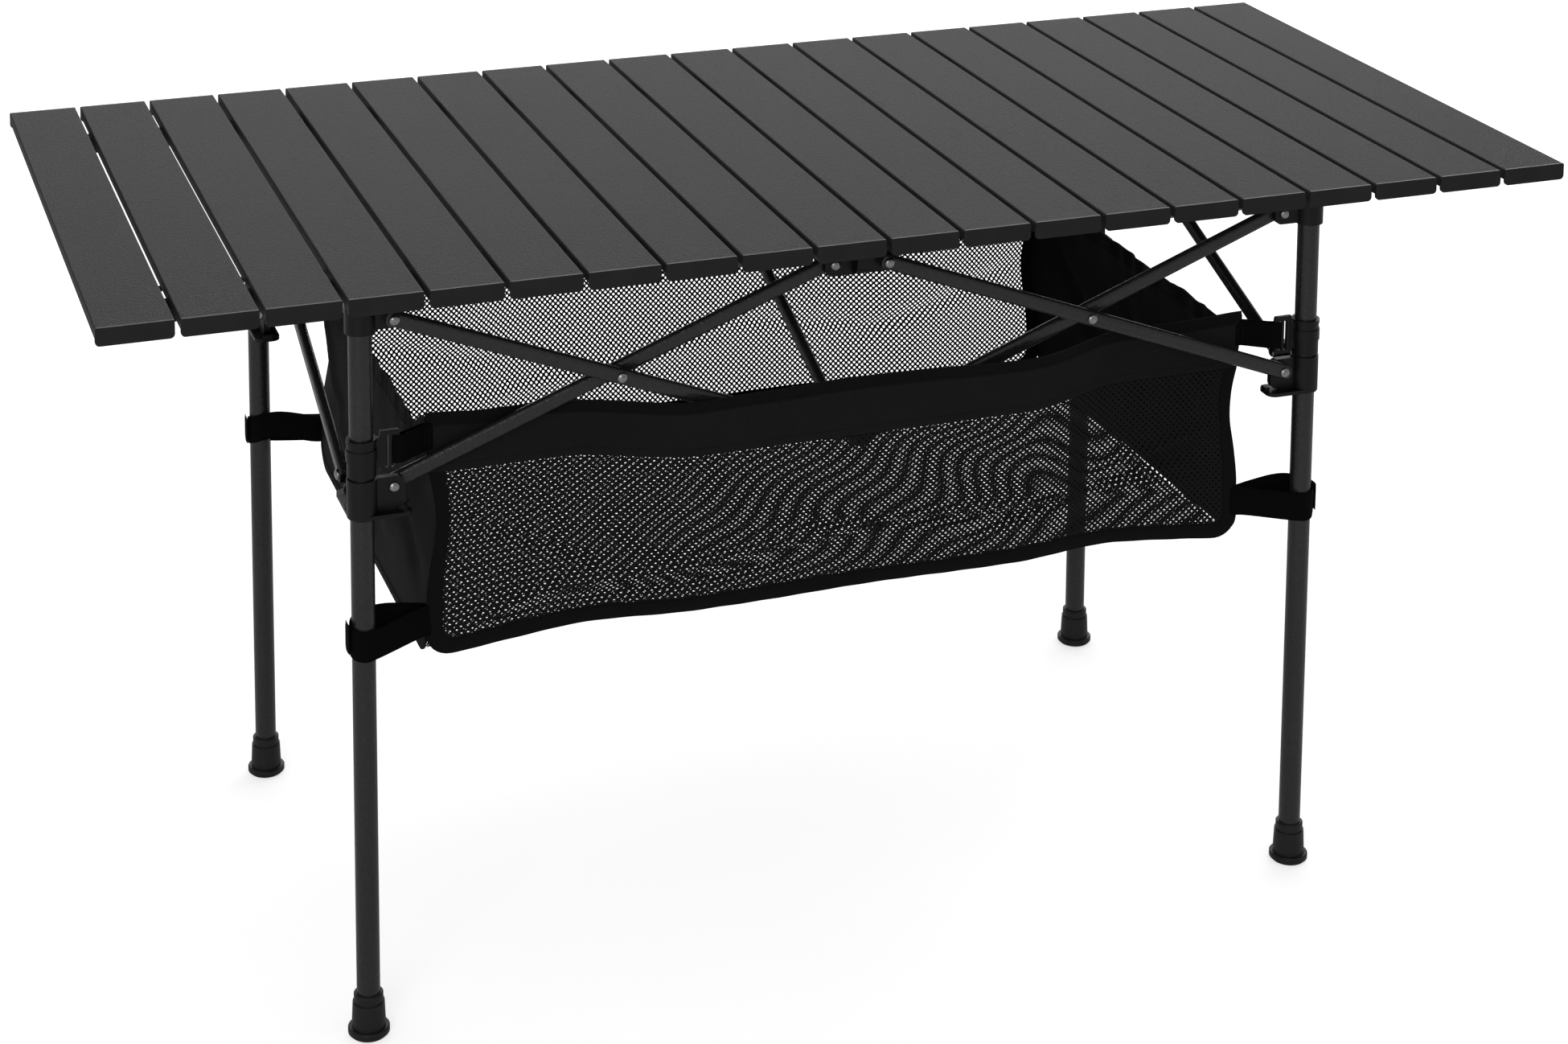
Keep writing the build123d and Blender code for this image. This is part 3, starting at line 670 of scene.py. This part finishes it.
def long_panel(name, y_side, creases, body):
    """Front or back of the basket: a solid band with a hem, open mesh below, and a bound edge."""
    panel = long_side(y_side, creases)
    if y_side > 0:
        turned = panel

        def panel(x, z):
            return turned(-x, z)

    band = Sewing(BAND_CLOTH, BINDING, THREAD)
    across = np.linspace(-BASKET_X, BASKET_X, 220)
    upward = np.concatenate([
        np.linspace(BAND_LOW_Z - 2 * MM, BAND_LOW_Z + 3 * MM, 4),
        np.linspace(BAND_LOW_Z + 6 * MM, RIM_Z - HEM - 1.5 * MM, 8),
        np.linspace(RIM_Z - HEM, RIM_Z, 6),
    ])

    def hem_relief(x, z):
        hem = smooth((z - (RIM_Z - HEM - 1 * MM)) / (1.5 * MM)) * (0.7 + 0.3 * np.sin(x / (4.2 * MM)))
        seam = bell(z - BAND_LOW_Z, 1.6 * MM)
        return 0.7 * MM * hem + 0.7 * MM * seam

    def band_slots(x, z):
        return z >= RIM_Z - HEM - 0.1 * MM

    sheet(band, across, upward, panel, 1.6 * MM, hem_relief, band_slots)
    for seam_z, lift in ((RIM_Z - HEM + 1.6 * MM, 1.5 * MM), (BAND_LOW_Z + 4.2 * MM, 0.9 * MM)):
        level = np.full(across.shape, seam_z)
        normal = normals_of(panel, across, level)
        stitches(band, panel(across, level) + normal * lift, normal, 2)
        stitches(band, panel(across, level) - normal * 0.9 * MM, -normal, 2)
    line = rounded_u(BASKET_X, BAND_LOW_Z + 1 * MM, FLOOR_CORNER_Z, PANEL_CORNER_RADIUS, 8 * MM)
    binding(band, line, panel, BINDING_WIDTH, 1, 2)
    band_piece = band.make(name + "_band")

    mesh = Sewing(MESH_CLOTH)
    width, height = 2 * BASKET_X, BAND_LOW_Z - FLOOR_CORNER_Z

    def mesh_surface(u, v):
        return panel(u - BASKET_X, v + FLOOR_CORNER_Z)

    def inside(u, v):
        radius = PANEL_CORNER_RADIUS
        edge = 3 * MM
        side = np.minimum(u, width - u)
        corner = (side < radius) & (v < radius)
        reach = np.hypot(radius - side, radius - v)
        return (side > edge) & (v > edge) & ~(corner & (reach > radius - edge))

    pitch, hole_size = (FRONT_MESH_PITCH, FRONT_MESH_HOLE) if y_side < 0 else (MESH_PITCH, MESH_HOLE)
    lattice(mesh, width, height, mesh_surface, inside, pitch, hole_size, True)
    mesh_piece = mesh.make(name + "_mesh")
    for piece in (band_piece, mesh_piece):
        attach(piece, body)
        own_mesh(piece)
    return band_piece


def end_rim(y):
    """Height of a solid end's upper edge: level between the corners, rising to them."""
    rise = 15 * MM * smooth((np.abs(y) - (BASKET_Y - 40 * MM)) / (38 * MM))
    return SIDE_RIM_Z + rise + 0.9 * MM * np.sin(y / (21 * MM)) + 0.5 * MM * np.sin(y / (8 * MM))


def corner_lift(into):
    """How far a lower corner is rounded up, from where its arc starts (0) to its end."""
    radius = PANEL_CORNER_RADIUS
    return radius - np.sqrt(radius ** 2 - np.clip(into, 0.0, radius) ** 2)


def end_floor(y):
    """Height of a solid end's lower edge, rounded up at its corners."""
    return FLOOR_CORNER_Z + corner_lift(np.abs(y) - (BASKET_Y - PANEL_CORNER_RADIUS))


def end_side(x_side):
    """The surface of the left (-1) or right (+1) end, as a function of y and of height on the cloth."""

    def surface(y, z):
        share = (z - FLOOR_CORNER_Z) / (SIDE_RIM_Z - FLOOR_CORNER_Z)
        height = end_floor(y) + share * (end_rim(y) - end_floor(y))
        inner = 1 - (np.abs(y) / BASKET_Y) ** 4
        out = inner * 5 * MM * np.sin(np.clip(share, 0, 1) * math.pi) - pulled_in(height) * (1 - 0.9 * inner)
        gather = bell(height - end_rim(y), 34 * MM)
        out = out + gather * 0.7 * MM * np.sin(y / (5.2 * MM) + 2.0 * np.sin(y / (23 * MM))) * inner
        for start, end, width, size in END_CREASES:
            out = out + fold_line(y, z, start, end, width, size)
        return np.stack([x_side * (BASKET_X + out), y, height], axis=-1)

    return surface


END_CREASES = (
    ((-195 * MM, 455 * MM), (-60 * MM, 330 * MM), 10 * MM, 4.0 * MM),
    ((-190 * MM, 330 * MM), (-70 * MM, 430 * MM), 11 * MM, -3.5 * MM),
    ((195 * MM, 450 * MM), (50 * MM, 340 * MM), 10 * MM, 4.0 * MM),
    ((190 * MM, 325 * MM), (60 * MM, 400 * MM), 11 * MM, -3.5 * MM),
    ((-40 * MM, 300 * MM), (30 * MM, 440 * MM), 13 * MM, 3.0 * MM),
)


def end_panel(name, x_side, body):
    """A solid end of the basket with a gathered hem on its upper edge and a bound lower edge."""
    panel = end_side(x_side)
    if x_side < 0:
        turned = panel

        def panel(y, z):
            return turned(-y, z)

    piece = Sewing(SIDE_CLOTH, BINDING, THREAD)
    across = np.linspace(-BASKET_Y, BASKET_Y, 260)
    hem_low = SIDE_RIM_Z - 14 * MM
    upward = np.concatenate([
        np.linspace(FLOOR_CORNER_Z, FLOOR_CORNER_Z + BINDING_WIDTH, 5),
        np.linspace(FLOOR_CORNER_Z + 16 * MM, hem_low - 2 * MM, 34),
        np.linspace(hem_low, SIDE_RIM_Z, 8),
    ])

    def relief(y, z):
        puckers = 0.75 + 0.25 * np.sin(y / (2.6 * MM) + np.sin(y / (11 * MM)))
        hem = smooth((z - hem_low) / (1.5 * MM)) * puckers
        tape = smooth((FLOOR_CORNER_Z + BINDING_WIDTH + 0.5 * MM - z) / (1.5 * MM))
        return 1.0 * MM * hem + 0.8 * MM * tape

    def slots(y, z):
        return (z >= hem_low - 0.1 * MM) | (z < FLOOR_CORNER_Z + BINDING_WIDTH - 0.1 * MM)

    sheet(piece, across, upward, panel, 1.4 * MM, relief, slots)
    for seam_z, lift in ((hem_low + 1.8 * MM, 1.7 * MM), (FLOOR_CORNER_Z + 10 * MM, 1.6 * MM)):
        level = np.full(across.shape, seam_z)
        normal = normals_of(panel, across, level)
        stitches(piece, panel(across, level) + normal * lift, normal, 2)
        stitches(piece, panel(across, level) - normal * 0.8 * MM, -normal, 2)
    made = piece.make(name)
    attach(made, body)
    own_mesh(made)


def floor_surface(x, share):
    """The mesh floor, across x and from the front edge (0) to the back edge (1). It sags behind its edges."""
    side = 2 * share - 1
    edge = floor_edge(x, FLOOR_FRONT_RISE + (FLOOR_BACK_RISE - FLOOR_FRONT_RISE) * share)
    level = FLOOR_CORNER_Z + 1.5 * MM
    height = level + (edge - level) * np.abs(side) ** 3
    height = height + (1 - side ** 2) * 1.2 * MM * np.sin(x / (27 * MM) + side * 4)
    height = height + corner_lift(np.minimum(
        np.abs(x) - (BASKET_X - PANEL_CORNER_RADIUS), np.abs(side) * BASKET_Y - (BASKET_Y - PANEL_CORNER_RADIUS)
    ))
    depth = BASKET_Y + bow(x, 0.0) - 0.8 * MM
    return np.stack([x, side * depth, height], axis=-1)


def floor_panels():
    """The mesh floor in three strips, each carried by what stands over it, so that they close up together."""
    split = 145 * MM
    strips = (
        ("basket_floor_left", -BASKET_X + 2 * MM, -split, "leg_front_left", 1),
        ("basket_floor_middle", -split, split, "centre_hub_upper_front", 1),
        ("basket_floor_right", split, BASKET_X - 2 * MM, "leg_front_right", 0),
    )
    depth = 2 * (BASKET_Y + BASKET_BOW * LOW_BOW_SHARE / 2)
    for name, start, end, body, spare in strips:
        mesh = Sewing(MESH_CLOTH)

        def surface(u, v):
            return floor_surface(u + start, v / depth)

        lattice(mesh, end - start, depth, surface, lambda u, v: u > -1, MESH_PITCH, MESH_HOLE, False, spare)
        made = mesh.make(name)
        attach(made, body)
        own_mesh(made)


def ribbon(sewing, path, width_at, middle_at, thickness, slot=0, loop=False):
    """Webbing on edge along a path in plan. Its width is upright and its middle height follows the path."""
    path = np.array(path, float)
    run = np.concatenate([[0], np.cumsum(np.linalg.norm(np.diff(path, axis=0), axis=1))])
    lengths = np.linspace(0, run[-1], max(12, int(run[-1] / (1.2 * MM))))
    if loop:
        lengths = lengths[:-1]

    def surface(length, reach):
        around = np.mod(length, run[-1]) if loop else length
        at = [np.interp(around, run, path[:, k]) for k in range(2)]
        share = around / run[-1]
        return np.stack([at[0], at[1], middle_at(share) + reach * width_at(share)], axis=-1)

    sheet(sewing, lengths, np.linspace(-0.5, 0.5, 7), surface, thickness, None,
          lambda u, v: np.full(u.shape, slot), loop)
    return surface, lengths


def rounded(points, radius, steps=6):
    """A path with its inner corners rounded."""
    points = [np.array(p, float) for p in points]
    path = [points[0]]
    for before, corner, after in zip(points, points[1:], points[2:]):
        back = before - corner
        ahead = after - corner
        cut = min(radius, 0.45 * np.linalg.norm(back), 0.45 * np.linalg.norm(ahead))
        first = corner + back / np.linalg.norm(back) * cut
        last = corner + ahead / np.linalg.norm(ahead) * cut
        for t in np.linspace(0, 1, steps):
            path.append((1 - t) ** 2 * first + 2 * t * (1 - t) * corner + t * t * last)
    path.append(points[-1])
    return np.array(path)


def at_corner(points, place):
    """Places a plan path, given from a leg's axis towards the basket, at one of the four corners."""
    sx, sy = CORNERS[place]
    points = np.array(points, float)
    return np.stack([sx * LEG_X - sx * points[:, 0], sy * LEG_Y - sy * points[:, 1]], axis=-1)


def upper_strap(place):
    """Webbing sewn to a basket corner, looped round the outer bar of the clip's frame."""
    reach_x = LEG_X - BASKET_X + 6 * MM
    reach_y = LEG_Y - BASKET_Y
    bar_in, bar_out, off = 23.9 * MM, 29.8 * MM, 2.3 * MM
    path = rounded([
        (reach_x, reach_y - 0.6 * MM), (reach_x - 6 * MM, reach_y - 1.6 * MM), (bar_out + 1 * MM, -off),
        (bar_in, -off), (bar_in, off), (bar_out, off + 0.6 * MM), (reach_x - 8 * MM, reach_y + 0.6 * MM),
        (reach_x, reach_y + 1.0 * MM),
    ], 2.2 * MM)
    low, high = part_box("basket_clip_" + place)
    middle = (low.z + high.z) / 2 + 1.0 * MM
    piece = Sewing(WEBBING, THREAD)
    surface, lengths = ribbon(
        piece, at_corner(path, place), lambda share: 21.5 * MM + 0 * share, lambda share: middle + 0 * share, 1.3 * MM
    )
    seam = np.linspace(-0.38, 0.38, 12)
    for back in (3 * MM, 7 * MM):
        along = np.full(seam.shape, back)
        normal = normals_of(surface, along, seam)
        normal *= np.sign(normal[:, 1] * CORNERS[place][1])[:, None]
        stitches(piece, surface(along, seam) + normal * 0.8 * MM, normal, 1, 2.6 * MM, 1.9 * MM)
    made = piece.make("upper_strap_" + place)
    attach(made, "leg_" + place)


def lower_strap(place):
    """A hook-and-loop strap round a leg, its two plies meeting at the basket's lower corner."""
    radius = 10.4 * MM
    reach_x = LEG_X - BASKET_X + 5 * MM
    reach_y = LEG_Y - BASKET_Y
    bearing = math.atan2(reach_y, reach_x)
    turns = np.linspace(bearing - math.pi / 2, bearing - 3 * math.pi / 2, 26)
    wrap = [(radius * math.cos(a), radius * math.sin(a)) for a in turns]
    path = [(reach_x, reach_y - 1.2 * MM), (reach_x - 9 * MM, reach_y - 3.0 * MM)] + wrap + [
        (reach_x - 12 * MM, reach_y + 3.2 * MM), (reach_x, reach_y + 1.0 * MM)
    ]
    corner_z, front_z, back_z = 320 * MM, 317 * MM, 327 * MM

    def middle(share):
        front = corner_z + (front_z - corner_z) * smooth(share / 0.4)
        return np.where(share < 0.4, front, front_z + (back_z - front_z) * smooth((share - 0.4) / 0.3)) + (
            (corner_z - back_z) * smooth((share - 0.7) / 0.3)
        )

    piece = Sewing(WEBBING, THREAD)
    surface, lengths = ribbon(
        piece, at_corner(rounded(path, 6 * MM), place), lambda share: 24 * MM + 0 * share, middle, 1.5 * MM
    )
    tab = [(-radius - 1.6 * MM, -5 * MM), (-radius - 2.2 * MM, 0), (-radius - 1.9 * MM, 6 * MM)]
    ribbon(piece, at_corner(rounded(tab, 4 * MM), place), lambda share: 23 * MM + 0 * share,
           lambda share: (front_z + back_z) / 2 + 0 * share, 1.3 * MM)
    made = piece.make("lower_strap_" + place)
    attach(made, "leg_" + place)


def basket():
    front = long_panel("basket_front", -1, FRONT_CREASES, "leg_front_left")
    long_panel("basket_back", 1, BACK_CREASES, "leg_back_left")
    end_panel("basket_left_end", -1, "leg_front_left")
    end_panel("basket_right_end", 1, "leg_front_right")
    floor_panels()
    for place in CORNERS:
        upper_strap(place)
        lower_strap(place)
    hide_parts("storage_basket")


# =====================================================================
# Rivet heads
# =====================================================================
def rivet_head(sewing, place, out):
    """A domed head with a small flat rim, standing on a face that looks along out."""
    sides, rings = 28, 7
    out = np.array(out, float)
    up = np.array((0.0, 0.0, 1.0))
    side = np.cross(out, up)
    profile = [(1.0, 0.0), (1.0, 0.14)]
    profile += [(math.cos(t), 0.14 + 0.86 * math.sin(t)) for t in np.linspace(0.12, math.pi / 2 - 0.08, rings)]
    points = []
    for radius, height in profile:
        for k in range(sides):
            angle = 2 * math.pi * k / sides
            around = (side * math.cos(angle) + up * math.sin(angle)) * radius * RIVET_RADIUS
            points.append(np.array(place) + around + out * height * RIVET_HEIGHT)
    faces = [
        [r * sides + k, r * sides + (k + 1) % sides, (r + 1) * sides + (k + 1) % sides, (r + 1) * sides + k]
        for r in range(len(profile) - 1)
        for k in range(sides)
    ]
    sewing.add(points, faces)
    tip = len(profile) * sides
    last = (len(profile) - 1) * sides
    fan = [[last + k, last + (k + 1) % sides, tip] for k in range(sides)]
    sewing.points[-1] = np.vstack([sewing.points[-1], np.array(place) + out * RIVET_HEIGHT])
    sewing.faces.extend((np.array(fan) + sewing.count - len(points)).tolist())
    sewing.slots.append(np.zeros(len(fan), int))
    sewing.count += 1


def rivets():
    """One piece of rivet heads for each hub and each bar that carries rivets."""
    groups = {}

    def rivet(name, body, place, axis, near, far):
        group = groups.setdefault(name, (body, []))
        group[1].append((place, axis, near))
        group[1].append((place, axis, far))

    for x_side, x_name in ((-1, "left"), (1, "right")):
        for y_side, y_name in ((-1, "front"), (1, "back")):
            corner = f"{y_name}_{x_name}"
            outside, inside = y_side * RIVET_FAR, -y_side * RIVET_FAR
            for z, hub, body in (
                (TOP_PIN_Z, "top_hub_", "leg_"),
                (LOW_PIN_Z, "slider_", "slider_"),
            ):
                falls_right = (z == TOP_PIN_Z) == (x_side < 0)
                far = outside if falls_right else inside
                near = -math.copysign(RIVET_NEAR, far)
                rivet(hub + corner, body + corner, (x_side * LEG_PIN_X, y_side * LEG_Y, z), 1, near, far)
                falls_back = (z == TOP_PIN_Z) == (y_side < 0)
                far = RIVET_FAR if falls_back else -RIVET_FAR
                near = -math.copysign(RIVET_NEAR, far)
                rivet(hub + corner, body + corner, (x_side * LEG_X, y_side * END_PIN_Y, z), 0, near, far)
            for z, hub in ((TOP_PIN_Z, "centre_hub_upper_"), (LOW_PIN_Z, "centre_hub_lower_")):
                falls_right = (z == TOP_PIN_Z) == (x_side > 0)
                far = outside if falls_right else inside
                near = -math.copysign(RIVET_NEAR, far)
                rivet(hub + y_name, hub + y_name, (x_side * HUB_PIN_X, y_side * LEG_Y, z), 1, near, far)
                if x_side > 0:
                    falls_back = (z == TOP_PIN_Z) == (y_side < 0)
                    far = RIVET_FAR if falls_back else -RIVET_FAR
                    near = -math.copysign(RIVET_NEAR, far)
                    rivet(hub + y_name, hub + y_name, (0.0, y_side * END_PIN_Y, z), 0, near, far)
            bar = f"bar_{y_name}_{x_name}_outer"
            place = (x_side * (LEG_PIN_X + HUB_PIN_X) / 2, y_side * LEG_Y, (TOP_PIN_Z + LOW_PIN_Z) / 2)
            rivet(bar, bar, place, 1, -RIVET_FAR, RIVET_FAR)
    for x, x_name in ((-LEG_X, "left"), (0.0, "centre"), (LEG_X, "right")):
        bar = f"bar_{x_name}_end_falling_back"
        rivet(bar, bar, (x, 0.0, (TOP_PIN_Z + LOW_PIN_Z) / 2), 0, -RIVET_FAR, RIVET_FAR)

    for name, (body, heads) in groups.items():
        piece = Sewing(NICKEL)
        for place, axis, offset in heads:
            spot, out = list(place), [0.0, 0.0, 0.0]
            spot[axis] += offset
            out[axis] = math.copysign(1.0, offset)
            rivet_head(piece, spot, out)
        made = piece.make("rivets_" + name)
        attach(made, body)


# =====================================================================
# Stage
# =====================================================================
def surround():
    """White to the camera and dimmer as a light, so that black parts stay dark in front of it."""
    world = bpy.data.worlds.new("surround")
    world.use_nodes = True
    tree = world.node_tree
    background = tree.nodes["Background"]
    background.inputs["Color"].default_value = (1.0, 1.0, 1.0, 1.0)
    rays = tree.nodes.new("ShaderNodeLightPath")
    strength = tree.nodes.new("ShaderNodeMapRange")
    strength.inputs["To Min"].default_value = SURROUND_LIGHT
    strength.inputs["To Max"].default_value = 1.0
    tree.links.new(rays.outputs["Is Camera Ray"], strength.inputs["Value"])
    tree.links.new(strength.outputs[0], background.inputs["Strength"])
    return world


def stage():
    """A pale floor, a white surround and three soft lights."""
    reach = 30.0
    mesh = bpy.data.meshes.new("floor")
    mesh.from_pydata([(-reach, -reach, 0), (reach, -reach, 0), (reach, reach, 0), (-reach, reach, 0)], [], [(0, 1, 2, 3)])
    mesh.materials.append(pale_floor())
    floor = bpy.data.objects.new("floor", mesh)
    bpy.context.scene.collection.objects.link(floor)

    bpy.context.scene.world = surround()
    bpy.context.scene.view_settings.view_transform = "Standard"

    for name, place, width, height, power in (
        ("key", (-2.2, -3.6, 1.9), 2.2, 2.2, 46.0),
        ("rim", (3.0, 2.0, 3.0), 2.4, 2.4, 24.0),
        ("back", (1.5, 4.8, 1.75), 5.2, 1.7, 82.0),
    ):
        light = bpy.data.lights.new(name, "AREA")
        light.shape = "RECTANGLE"
        light.size = width
        light.size_y = height
        light.energy = power
        lamp = bpy.data.objects.new(name, light)
        lamp.location = place
        lamp.rotation_mode = "QUATERNION"
        lamp.rotation_quaternion = (Vector((0, 0, 0.45)) - Vector(place)).to_track_quat("-Z", "Y")
        bpy.context.scene.collection.objects.link(lamp)


def hold_shift(data, name, shift, lens, home):
    """Gives the lens a shift that holds only while it stands at its home, so that other views stay centred."""
    curve = data.driver_add(name)
    curve.driver.type = "SUM"
    gap = curve.driver.variables.new()
    gap.type = "LOC_DIFF"
    gap.targets[0].id = lens
    gap.targets[1].id = home
    for modifier in list(curve.modifiers):
        curve.modifiers.remove(modifier)
    curve.keyframe_points.clear()
    for distance, value in ((0.0, shift), (0.1, shift), (0.2, 0.0)):
        curve.keyframe_points.insert(distance, value).interpolation = "LINEAR"
    curve.extrapolation = "CONSTANT"


def camera():
    """A long lens from the front left, a little above the top, shifted so that the legs stay upright."""
    azimuth, elevation, roll = math.radians(18.883), math.radians(8.328), math.radians(0.2073)
    forward = Vector((math.sin(azimuth) * math.cos(elevation), math.cos(azimuth) * math.cos(elevation),
                      -math.sin(elevation)))
    right = Vector((math.cos(azimuth), -math.sin(azimuth), 0.0))
    up = right.cross(forward)
    right_rolled = right * math.cos(roll) + up * math.sin(roll)
    up_rolled = right_rolled.cross(forward)
    data = bpy.data.cameras.new("camera")
    data.sensor_width = 36.0
    data.lens = 70.617
    made = bpy.data.objects.new("camera", data)
    made.matrix_world = Matrix((
        (right_rolled.x, up_rolled.x, -forward.x, -0.857309),
        (right_rolled.y, up_rolled.y, -forward.y, -2.354007),
        (right_rolled.z, up_rolled.z, -forward.z, 1.387660),
        (0, 0, 0, 1),
    ))
    bpy.context.scene.collection.objects.link(made)
    bpy.context.scene.camera = made
    home = bpy.data.objects.new("camera_home", None)
    home.location = made.matrix_world.translation
    bpy.context.scene.collection.objects.link(home)
    for name, shift in (("shift_x", 0.04621), ("shift_y", -0.55464)):
        hold_shift(data, name, shift, made, home)


dress_frame()
rivets()
basket()
stage()
camera()
